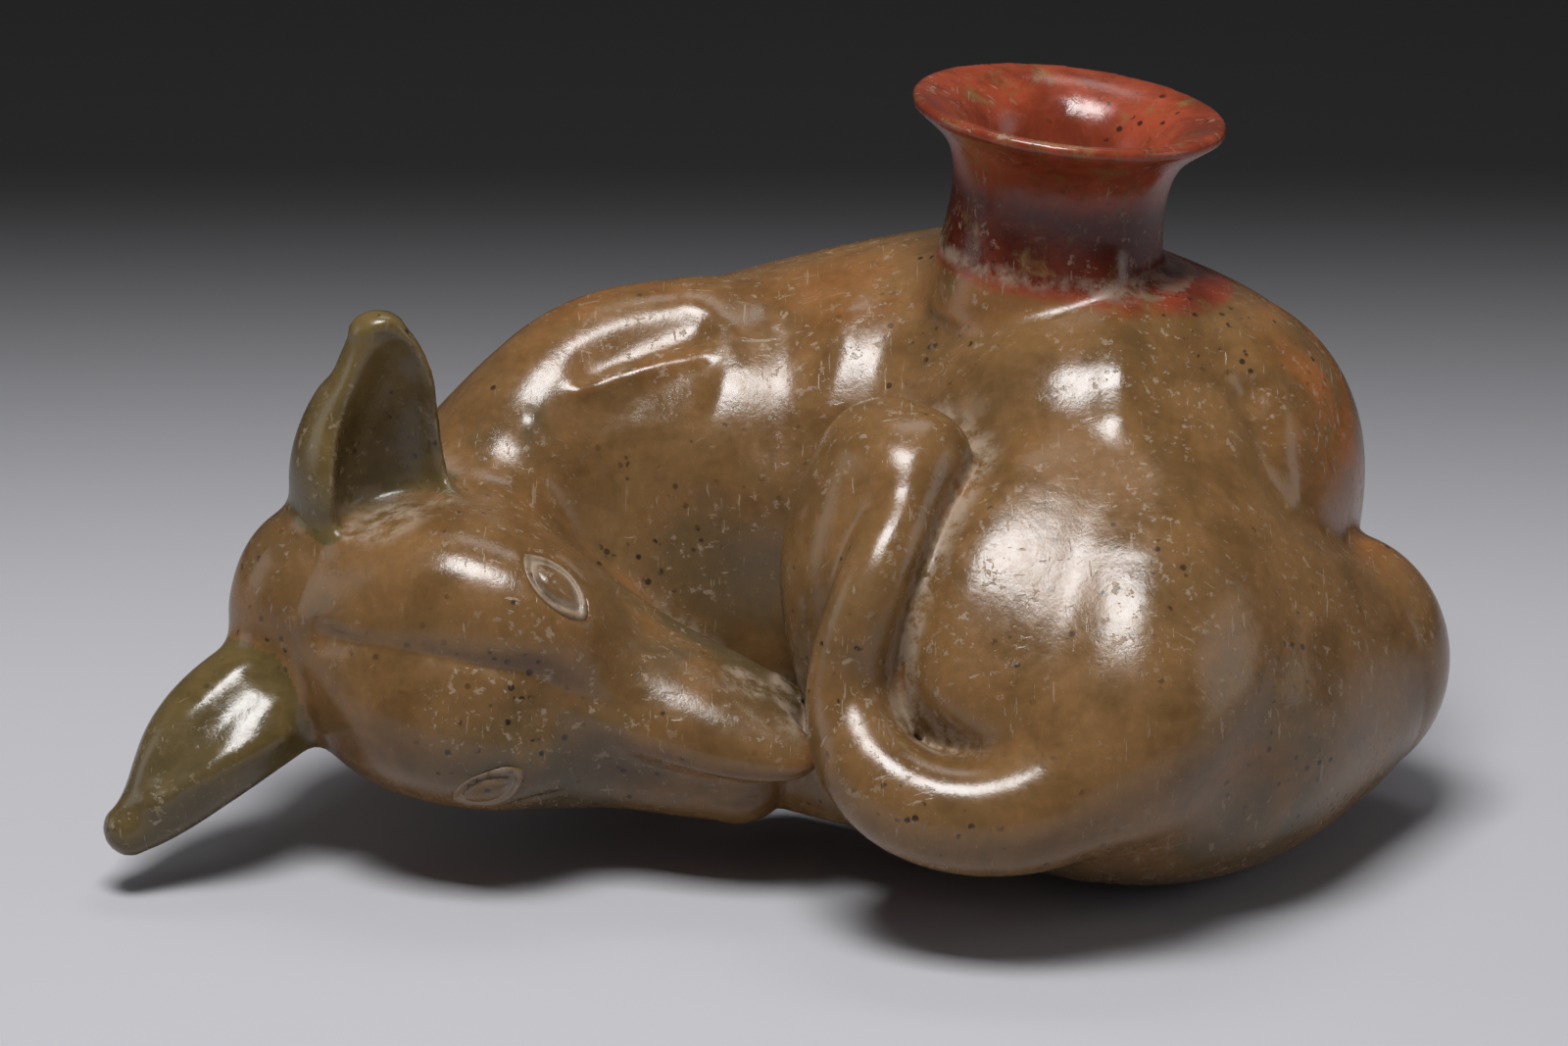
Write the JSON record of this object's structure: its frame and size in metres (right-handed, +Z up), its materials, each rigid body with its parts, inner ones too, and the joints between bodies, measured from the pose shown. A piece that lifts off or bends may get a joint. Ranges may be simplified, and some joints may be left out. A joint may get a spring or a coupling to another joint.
{
  "type": "askos vessel",
  "caption": "Hollow fired clay vessel shaped as a dog curled up asleep, with a flared spout on its back for filling and pouring.",
  "frame": {"origin": "middle of the bottom of the whole vessel's box, on the floor it rests on", "axes": "+Z up, +X along the back towards the rump, +Y towards the curled back; the muzzle and tail face -Y"},
  "size_m": [0.2874, 0.1896, 0.1572],
  "materials": {
    "burnished_clay": "satin",
    "ear_clay": "satin",
    "eye_clay": "matte",
    "spout_clay": "satin"
  },
  "bodies": {
    "root": {"trunk_lower_half": "burnished_clay", "trunk_upper_half": "burnished_clay", "haunch": "burnished_clay", "rump": "burnished_clay", "head": "burnished_clay", "neck": "burnished_clay", "shoulder_blade": "burnished_clay", "shin": "burnished_clay", "hock": "burnished_clay", "hind_foot": "burnished_clay", "tail": "burnished_clay", "left_ear": "ear_clay", "right_ear": "ear_clay", "left_eye": "eye_clay", "right_eye": "eye_clay", "spout_collar": "spout_clay", "spout_rim": "spout_clay"}
  },
  "joints": []
}
